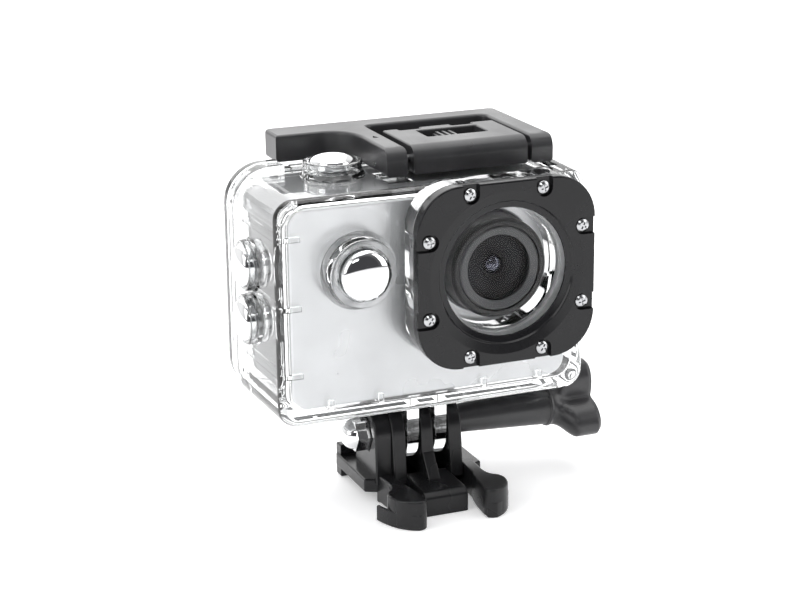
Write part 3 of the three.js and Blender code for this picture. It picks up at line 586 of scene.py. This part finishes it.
def build_latch():
    top = prism("lever_plan", [lever_outline()], "xy", LATCH_FOOT, LATCH_TOP, 0.7, 4)
    body = carve(top, [nose_side(-40, 40)], "INTERSECT")
    hook = box("hook", -1.2, 23.6, 20.2, 21.8, 66.6, 68.6, 0.3)
    arrow = prism("arrow", [[(-5.6, 7.6), (-4.2, 7.6), (-4.9, 9.4)]], "xy", 73.3, 74)
    place(fuse("lever", [carve(body, [arrow]), hook]), "latch_lever_body", MATERIALS["black"], "latch",
          "latch_lever", "black_plastic")


def build_lock():
    slot = soften([(5.2, 4.3, 0.4), (18.4, 4.3, 0.4), (18.4, 10.6, 0.4), (5.2, 10.6, 0.4)])
    rear = [(23.6, 13.6, 0.5), (18.4, 13.6, 0.3), (18.4, 12.2, 0.3), (13.8, 12.2, 0.3), (13.8, 13.6, 0.3),
            (6.8, 13.6, 0.3), (6.8, 12.2, 0.3), (2.2, 12.2, 0.3), (2.2, 13.6, 0.3), (-1.2, 13.6, 0.5)]
    plan = prism("plate", [soften([(-1.2, -6, 0), (23.6, -6, 0), *rear]), slot], "xy", 67.9, 73.5, 0.4, 3)
    plate = carve(plan, [nose_side(-40, 40)], "INTERSECT")
    floor = box("slot_floor", 4.5, 19.6, 3.6, 11.4, 68.2, 71.15)
    holes = [soften([(x0, 11.8, 0.3), (x1, 11.8, 0.3), (x1, 16, 0.3), (x0, 16, 0.3)])
             for x0, x1 in ((2.2, 6.8), (13.8, 18.4))]
    shelf = prism("shelf", [[(-1.2, 11.2), (23.6, 11.2), (23.6, 19.3), (-1.2, 19.3)], *holes], "xy", 67.8, 71, 0.2, 2)
    place(fuse("lock", [plate, floor, shelf]), "lock_plate_body", MATERIALS["black"], "housing", "lock_plate",
          "black_plastic")
    slider = box("slider", 6.6, 15.1, 4.6, 10.3, 71.2, 71.8, 0.15)
    thumb = box("thumb", 8.4, 12.9, 4.7, 10.2, 71.5, 72.7, 0.3)
    ridges = [box("ridge", x, x + 0.6, 4.8, 10.1, 72.4, 73.05, 0.15) for x in (9.0, 10.4, 11.8)]
    place(fuse("slider", [slider, thumb, *ridges]), "lock_slider_body", MATERIALS["black"], "lock", "lock_slider",
          "black_plastic")


def build_camera():
    plate = prism("plate", [round_rect(-29.7, 23.8, 29.7, 64.9, 3.5), circle(LENS_X, LENS_Z, 10.6, 96),
                            circle(-16.4, 52, 4.3, 48)], "xz", -8, -7, 0.45, 4)
    place(plate, "camera_face", MATERIALS["silver"], "housing", "camera_front_plate", "silver_paint")
    case = prism("case", [round_rect(-29.7, 23.8, 29.7, 64.9, 3.5)], "xz", -6.7, 12.2, 0.5, 3)
    carve(case, [lathe("mouth", [(0, -8), (8.6, -8), (8.6, -4), (0, -4)], "y", LENS_AXIS, 96)])
    carve(case, [prism("inside", [round_rect(-27.7, 27.6, 27.7, 62.9, 2)], "xz", -4.7, 13),
                 prism("bay", [round_rect(-27, 0.4, 7.4, 11.2, 0.3)], "xy", 22, 29)])
    wells = [("y", FRONT_BUTTON, -7.2, -5.4, 4.6, -4), ("z", TOP_BUTTON, 66, 63.9, 2.6, 62)]
    wells += [("x", centre, -31, -28.7, 2.6, -27) for centre in SIDE_BUTTONS.values()]
    for axis, centre, mouth, shoulder, radius, end in wells:
        profile = [(0, mouth), (radius, mouth), (radius, shoulder), (1.5, shoulder), (1.5, end), (0, end)]
        carve(case, [lathe("key_well", profile, axis, centre, 40)])
    place(case, "camera_body", MATERIALS["case"], "housing", "camera_case", "silver_paint")
    cover = prism("cover", [round_rect(-29.7, 23.8, 29.7, 64.9, 3.5), round_rect(-16.3, 34, 16.3, 58.6, 0.6)], "xz",
                  12.5, 13.8, 0.35, 3)
    place(cover, "camera_back_panel", MATERIALS["case"], "housing", "camera_back_cover", "black_plastic")
    screen = prism("screen", [round_rect(-16, 34.3, 16, 58.3, 0.5)], "xz", 12.0, 13.7, 0.2, 2)
    place(screen, "camera_display", MATERIALS["display"], "housing", "camera_screen", "dark_glass")
    place(lathe("barrel", soften([
        (7.3, -4.9), (8.3, -4.9), (8.3, -7.3), (10.25, -7.3), (10.25, -14.3, 0.5), (9.7, -15, 0.5), (8.75, -15, 0.2),
        (8.75, -14.0), (7.3, -14.0)]), "y", LENS_AXIS, 128), "camera_lens_barrel", MATERIALS["lens"], "housing",
        "lens_barrel", "lens_black")
    place(lathe("ring", soften([(6.8, -14.05), (8.6, -14.05), (8.6, -14.7, 0.15), (8.2, -14.95, 0.2),
                                (7.2, -14.6, 0.2), (6.8, -14.4)]), "y", LENS_AXIS, 128), "camera_lens_ring",
          MATERIALS["lens_gray"], "housing", "lens_bezel", "lens_black")
    place(lathe("glass", soften([(0, -13.7), (6.6, -13.5, 0.2), (7, -13.3, 0.1), (7, -12.8), (0, -12.8)],
                                closed=False), "y", LENS_AXIS, 96), "camera_cover_glass", MATERIALS["cover"],
          "housing", "lens_cover_glass", "dark_glass")
    place(lathe("element", [(0, -12.35), (0.7, -12.25), (1.3, -12.0), (1.75, -11.6), (2.0, -11.2), (2.0, -10.3),
                            (0, -10.3)], "y", LENS_AXIS, 64), "camera_lens_element", MATERIALS["element"],
          "housing", "lens_element", "dark_glass")
    place(lathe("cell", soften([(2.3, -5.2), (7, -5.2), (7, -12.2, 0.2), (5.6, -12.3, 0.3), (3.0, -11.2, 0.3),
                                (2.3, -11.7, 0.1)]), "y", LENS_AXIS, 96), "camera_lens_cone", MATERIALS["lens"],
          "housing", "lens_cell", "lens_black")
    place(lathe("key", soften([(0, -8.2), (3.4, -8.2, 0.3), (4, -7.9, 0.2), (4, -6.3), (0, -6.3)], closed=False),
                "y", FRONT_BUTTON, 64), "camera_power_key", MATERIALS["silver"], "power_key",
          "camera_power_button", "silver_paint")


def disc_with_foot(radius, foot, floor_z, steps=16):
    """Side view of a prong: a round head on straight legs down to the base, in (Y, Z)."""
    return [(foot, floor_z), (radius, SCREW_Z)] + arc(0, SCREW_Z, radius, 0, 180, steps)[1:-1] + [
        (-radius, SCREW_Z), (-foot, floor_z)]


def build_buckle():
    hole = circle(0, SCREW_Z, 2.35, 32)
    parts = [
        prism("rails", [soften([(-13.1, -4, 0.5), (-9.3, -6, 0.5), (9.3, -6, 0.5), (13.1, -4, 0.5),
                                (13.1, 12.9, 0.6), (-13.1, 12.9, 0.6)])], "xy", 2.1, 5, 0.4, 3),
        box("body", -9, 9, -6, 12.9, 0, 5, 0.3),
        prism("tongue", [soften([(-5, 0), (-5, 5.15), (-15.3, 5, 1.2), (-16.6, 3.9, 0.9), (-16.6, 0, 0.2)])], "yz",
              -4.7, 4.7, 0.35, 3),
        box("rear_wall", -12.7, 12.7, 10.8, 13.3, 0, 7.2, 0.4),
        prism("prong_left", [disc_with_foot(6.4, 7.4, 4), hole], "yz", -7.7, -4.75, 0.4, 3),
        prism("prong_middle", [disc_with_foot(6.4, 7.4, 4), hole], "yz", -1.35, 1.35, 0.4, 3),
        prism("prong_right", [disc_with_foot(6.4, 7.4, 4), hole], "yz", 4.75, 7.7, 0.4, 3),
        prism("boss", [disc_with_foot(5.8, 6, 4), circle(0, SCREW_Z, 3.95, 6)], "yz", -11.2, -7.4, 0.5, 3),
        prism("rib", [soften([(-10.5, 4), (-10.3, 5.3, 1), (-6.2, 11, 4), (0, 11), (0, 4)])], "yz",
              -1.3, 1.3, 0.3, 3),
        box("root_left", -9, -7.5, -3.2, 2.2, 4, 6.2, 0.3),
        box("root_right", 7.5, 9, -3.2, 2.2, 4, 6.2, 0.3),
    ]
    body = fuse("buckle", parts)
    place(body, "buckle_body", MATERIALS["buckle"], "buckle", "buckle_base", "black_plastic")
    for side, name in ((-1, "left"), (1, "right")):
        arm = [(-8.1, -5.4), (-7.7, -11.5)]
        arm += quad((-7.7, -11.5), (-6.5, -15.5), (-6.3, -20.6)) + quad((-6.3, -20.6), (-6.5, -22.4), (-8.2, -22.3))
        arm += quad((-8.2, -22.3), (-12.6, -21.4), (-12.9, -16.6))
        arm += quad((-12.9, -16.6), (-12.6, -14.6), (-11.4, -14))
        arm += quad((-11.4, -14), (-10.4, -13), (-10.4, -10.4)) + [(-10.7, -5.4)]
        fin = [(-6.8, -20), (-6.6, -21.6)] + quad((-6.6, -21.6), (-7.2, -22.5), (-8.6, -22.45))
        fin += quad((-8.6, -22.45), (-12.9, -20.6), (-14.35, -14)) + [(-13.7, -13.7)]
        fin += quad((-13.7, -13.7), (-13.2, -17), (-11, -19))
        leg = fuse("leg", [prism("arm", [arm], "xy", 0.2, 6.2, 0.5, 3), prism("fin", [fin], "xy", 0, 3.4, 0.3, 2),
                           lathe("root", [(0, 0.2), (1.3, 0.2), (1.3, 6.1), (0, 6.1)], "z", (-9.4, -5.2, 0), 32)])
        if side > 0:
            leg.data.transform(Matrix.Scale(-1, 4, (1, 0, 0)))
            leg.data.flip_normals()
        place(leg, f"buckle_{name}_spring_leg", MATERIALS["buckle"], f"leg_{name}", f"buckle_leg_{name}",
              "black_plastic")


def quad(a, b, c, steps=8):
    return [tuple((1 - t) ** 2 * p + 2 * t * (1 - t) * q + t * t * r for p, q, r in zip(a, b, c))
            for t in ((i + 1) / steps for i in range(steps))]


def build_thumb_screw():
    rings, count, start, length = 40, 120, 29.3, 10.2
    work = bmesh.new()
    rows = []
    for i in range(rings + 1):
        t = i / rings
        swell = smooth(t, 0.1, 0.5)
        edge = 1 - 0.08 * smooth(t, 0.92, 1)
        row = []
        for k in range(count):
            a = 2 * math.pi * k / count
            r = (4.4 + 1.8 * swell + 3 * swell * math.cos(3 * (a - math.pi / 2))) * edge
            row.append(work.verts.new((start + t * length, r * math.cos(a), SCREW_Z + r * math.sin(a))))
        rows.append(row)
    for a, b in zip(rows, rows[1:]):
        for k in range(count):
            work.faces.new((a[k], a[(k + 1) % count], b[(k + 1) % count], b[k]))
    work.faces.new(rows[0])
    work.faces.new(rows[-1])
    bmesh.ops.recalc_face_normals(work, faces=work.faces)
    mesh = bpy.data.meshes.new("knob")
    work.to_mesh(mesh)
    work.free()
    sleeve = lathe("sleeve", soften([(2.3, 8.1), (2.95, 8.1, 0.25), (4.1, 29.1), (4.55, 29.6, 0.3), (4.4, 30.1),
                                     (2.3, 30.1)]), "x", SCREW_AXIS, 64)
    place(fuse("knob", [to_object("knob", mesh), sleeve]), "thumb_knob_body", MATERIALS["black"], "thumb_screw",
          "thumb_knob", "black_plastic", crease=40)
    hexagon = prism("nut_hex", [circle(0, SCREW_Z, 3.7, 6)], "yz", -14.3, -9.6, 0.3, 3)
    dome = lathe("nut_dome", [(0, -16.6), (0.8, -16.5), (1.6, -16.2), (2.3, -15.7), (2.85, -15), (3.15, -14.2),
                              (3.2, -13.4), (0, -13.4)], "x", SCREW_AXIS, 64)
    place(fuse("nut", [hexagon, dome]), "cap_nut", MATERIALS["chrome"], "buckle", "acorn_nut", "chrome")


def smooth(t, low, high):
    t = min(1, max(0, (t - low) / (high - low)))
    return t * t * (3 - 2 * t)


def build_shell():
    outer = prism("shell_skin", [round_rect(-33.1, 21, 33.1, 67.2, [4, 4, 3, 4])], "xz", -11.5, 14.5, 1.9, 5)
    for vertex in outer.data.vertices:
        vertex.co.x *= 1 + 0.025 * (vertex.co.y + 11.5) / 26
    flange = prism("flange", [round_rect(-34.6, 20.4, 34.6, 69, 8, 14)], "xz", 10.5, 14.5, 0.6, 3)
    carve(flange, [box("path", -23.6, 40, 0, 20, 67.2, 72)])
    tower = prism("tower", [frame_outline(0.25)], "xz", -15.9, -10.8, 0.3, 2)
    collars = [
        lathe("collar", soften([(0, -10.5), (8.3, -10.5), (7.9, -11.6, 0.5), (7.1, -12.4, 0.4), (6.9, -14.6, 0.4),
                                (0, -14.6)], closed=False), "y", FRONT_BUTTON, 96),
        lathe("collar", soften([(0, 66.2), (6.8, 66.2), (6.6, 67.5, 0.3), (6.0, 68.2, 0.4), (6.0, 70.3, 0.4),
                                (0, 70.3)], closed=False), "z", TOP_BUTTON, 96),
    ] + [
        lathe("collar", soften([(0, -35.6), (5.1, -35.6, 0.3), (5.2, -34, 0.4), (5.7, -33.2, 0.3), (5.8, -32),
                                (0, -32)], closed=False), "x", centre, 72) for centre in SIDE_BUTTONS.values()
    ]
    fingers = [
        prism("finger", [[(6.3, 22.5), (-6.3, 22.5), (-6.3, SCREW_Z)] + arc(0, SCREW_Z, 6.3, 180, 360, 24)[1:]], "yz",
              x0, x1, 0.3, 2) for x0, x1 in ((-4.4, -1.7), (1.7, 4.4))
    ]
    lug = [(15.5, 18.5), (15.5, 21.9), (9, 21.9), (9, 20.4)]
    lugs = [prism("lug", [lug], "yz", x0, x1) for x0, x1 in ((-16, -12), (12, 16))]
    carve(outer, [flange, tower, *collars, *fingers, *lugs], "UNION")
    cavity = prism("cavity", [round_rect(-31, 23.3, 31, 65.3, 4, 8)], "xz", -9.3, 17, 0.8, 3)
    rebate = prism("rebate", [round_rect(-32.4, 21.4, 32.4, 66.6, 5, 8)], "xz", 13.2, 17)
    bore = lathe("bore", [(0, -17), (12.5, -17), (12.5, -8), (0, -8)], "y", LENS_AXIS, 128)
    seat = lathe("seat", [(0, -17), (15.4, -17), (15.4, -14.4), (0, -14.4)], "y", LENS_AXIS, 128)
    wells = [
        lathe("well", soften([(0, -16), (5.6, -16), (5.6, -11.5, 0.3), (1.5, -11.5), (1.5, -9), (0, -9)],
                             closed=False), "y", FRONT_BUTTON, 72),
        lathe("well", soften([(0, 72), (5.15, 72), (5.15, 66.5, 0.3), (1.5, 66.5), (1.5, 65), (0, 65)],
                             closed=False), "z", TOP_BUTTON, 72),
    ] + [
        lathe("well", soften([(0, -37), (4.55, -37), (4.55, -32.1, 0.3), (1.5, -32.1), (1.5, -30.5), (0, -30.5)],
                             closed=False), "x", centre, 64) for centre in SIDE_BUTTONS.values()
    ]
    wells += [box("ear_pocket", x0, x1, -5.2, 3.6, 66.3, 70) for x0, x1 in ((-7.4, -2.2), (24.2, 29.7))]
    bolt = lathe("bolt_hole", [(0, -8), (2.35, -8), (2.35, 8), (0, 8)], "x", SCREW_AXIS, 48)
    carve(outer, [cavity, rebate, bore, seat, *wells, bolt])
    ribs = []
    for z in (59.1, 45.1, 31.3):
        for side in (-1, 1):
            xs = sorted((side * 31.4, side * 30.15))
            ribs.append(box("rib", *xs, -9.6, 10, z - 0.5, z + 0.5))
            xs = sorted((side * 31.4, side * 27.8))
            ribs.append(box("tab", *xs, -9.6, -8.4, z - 0.5, z + 0.5))
    for x in (-22, -11.4, 11.2, 23.6):
        ribs.append(box("tab", x - 0.5, x + 0.5, -9.6, -8.4, 22.9, 25.4))
        ribs.append(box("rib", x - 0.5, x + 0.5, -9.6, 10, 22.9, 23.6))
    carve(outer, ribs, "UNION")
    place(outer, "housing_shell", MATERIALS["clear"], "housing", "front_shell", "clear_plastic", crease=30)


def build_door():
    slab = prism("slab", [round_rect(-34.6, 20.4, 34.6, 69, 8, 14)], "xz", 14.8, 17.2, 0.5, 3)
    carve(slab, [box("path", -23.6, 40, 10, 20, 67.2, 72)])
    rim = prism("rim", [round_rect(-31.2, 22.6, 31.2, 66, 4, 8), round_rect(-30.2, 23.6, 30.2, 65, 3, 8)], "xz", 13.5,
                15.2)
    catch = box("catch", -20, 28, 16.7, 18.6, 64.6, 67.2, 0.3)
    knuckle = lathe("knuckle", soften([(0.9, -11.7), (1.7, -11.7, 0.3), (1.7, 11.7, 0.3), (0.9, 11.7)]), "x",
                    (0, 15.5, 20.2), 40)
    carve(slab, [rim, catch], "UNION")
    place(fuse("door", [slab, knuckle]), "housing_door", MATERIALS["clear"], "door", "back_door", "clear_plastic",
          crease=30)


def build_seals_and_window():
    place(lathe("window", soften([(0, -17.5), (15.1, -17.5, 0.25), (15.1, -16.0, 0.2), (0, -16.0)], closed=False),
                "y", LENS_AXIS, 128), "window_disc", MATERIALS["window"], "housing", "lens_window", "clear_plastic")


add_camera()
add_studio()
add_floor()
finish_cad_nodes()
build_lens_frame()
build_frame_screws()
build_buttons()
build_latch()
build_lock()
build_camera()
build_buckle()
build_thumb_screw()
build_shell()
build_door()
build_seals_and_window()
